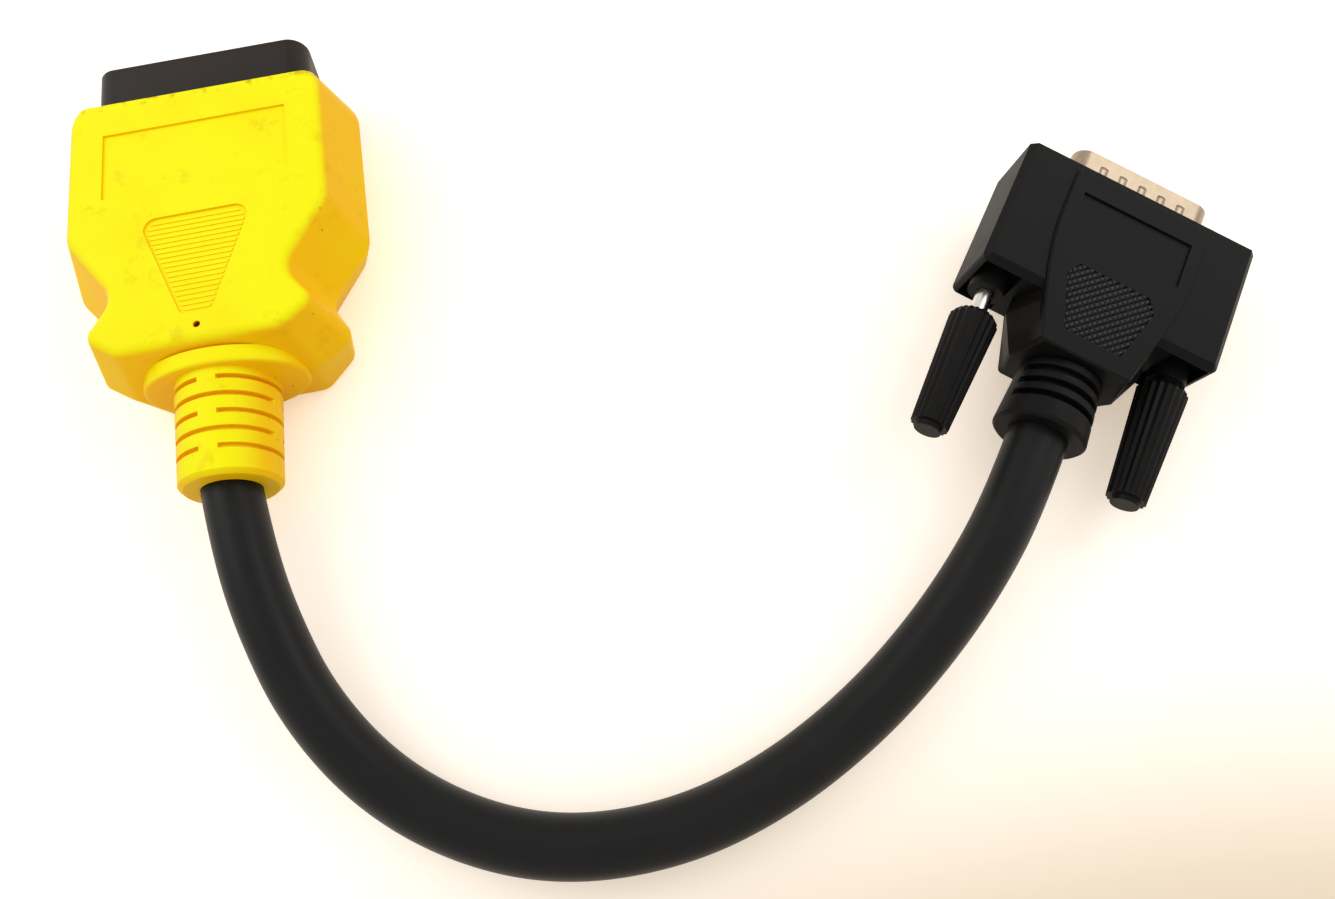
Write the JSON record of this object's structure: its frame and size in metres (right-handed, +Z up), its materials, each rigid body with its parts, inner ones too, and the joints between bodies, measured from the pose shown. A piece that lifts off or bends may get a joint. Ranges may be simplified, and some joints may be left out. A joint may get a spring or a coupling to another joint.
{
  "type": "diagnostic adapter lead",
  "caption": "Short round cable with a yellow sixteen-way vehicle diagnostic plug on one end and a black D connector with captive thumbscrews on the other.",
  "frame": {"origin": "middle of the diagnostic plug's flat underside, where it rests on the table", "axes": "+Z up from the table, +Y the way the diagnostic plug is pushed home, +X to the right of that"},
  "size_m": [0.199, 0.1518, 0.022],
  "materials": {
    "yellow_pvc": "soft injection-moulded PVC, satin, lightly soiled",
    "black_nylon": "moulded glass-filled nylon, satin",
    "tinned_brass": "tin plate",
    "polyethylene_fill": "plain moulded polyethylene",
    "core_insulation": "extruded PVC",
    "black_pvc_jacket": "extruded soft PVC, satin",
    "black_pvc": "soft injection-moulded PVC, satin",
    "nickel_plate": "nickel-plated pressed steel",
    "black_pbt": "moulded PBT",
    "gold_flash": "gold flash over nickel",
    "nickel_steel": "nickel-plated turned steel",
    "spring_steel": "blued spring steel",
    "grip_plastic": "moulded ribbed plastic"
  },
  "bodies": {
    "lead": {"plug_overmould": "yellow_pvc", "plug_strain_relief": "yellow_pvc", "plug_shroud": "black_nylon", "plug_blades_upper": "tinned_brass", "plug_blades_lower": "tinned_brass", "plug_inner_filling": "polyethylene_fill", "plug_core_wires": "core_insulation", "plug_cable_end": "black_pvc_jacket", "hood_overmould": "black_pvc", "hood_strain_relief": "black_pvc", "d_front_shell": "nickel_plate", "d_rear_shell": "nickel_plate", "d_front_insulator": "black_pbt", "d_rear_insulator": "black_pbt", "d_pins_upper": "gold_flash", "d_pins_lower": "gold_flash", "hood_inner_filling": "polyethylene_fill", "hood_core_wires": "core_insulation", "hood_cable_end": "black_pvc_jacket", "cable": "black_pvc_jacket"},
    "left_clip": {"left_retaining_clip": "spring_steel"},
    "left_screw": {"left_jackscrew": "nickel_steel", "left_thumb_grip": "grip_plastic"},
    "right_clip": {"right_retaining_clip": "spring_steel"},
    "right_screw": {"right_jackscrew": "nickel_steel", "right_thumb_grip": "grip_plastic"}
  },
  "joints": [
    {"name": "left_screw_slide", "type": "slide", "parent": "lead", "child": "left_clip", "axis": [0.599, 0.8007, 0], "range_m": [0, 0.004]},
    {"name": "left_screw_turn", "type": "hinge", "parent": "left_clip", "child": "left_screw", "pos_m": [0.13548, -0.02891, 0.01375], "axis": [0.599, 0.8007, 0], "continuous": true},
    {"name": "right_screw_slide", "type": "slide", "parent": "lead", "child": "right_clip", "axis": [0.599, 0.8007, 0], "range_m": [-0.004, 0]},
    {"name": "right_screw_turn", "type": "hinge", "parent": "right_clip", "child": "right_screw", "pos_m": [0.1641, -0.04532, 0.00756], "axis": [0.599, 0.8007, 0], "continuous": true}
  ]
}
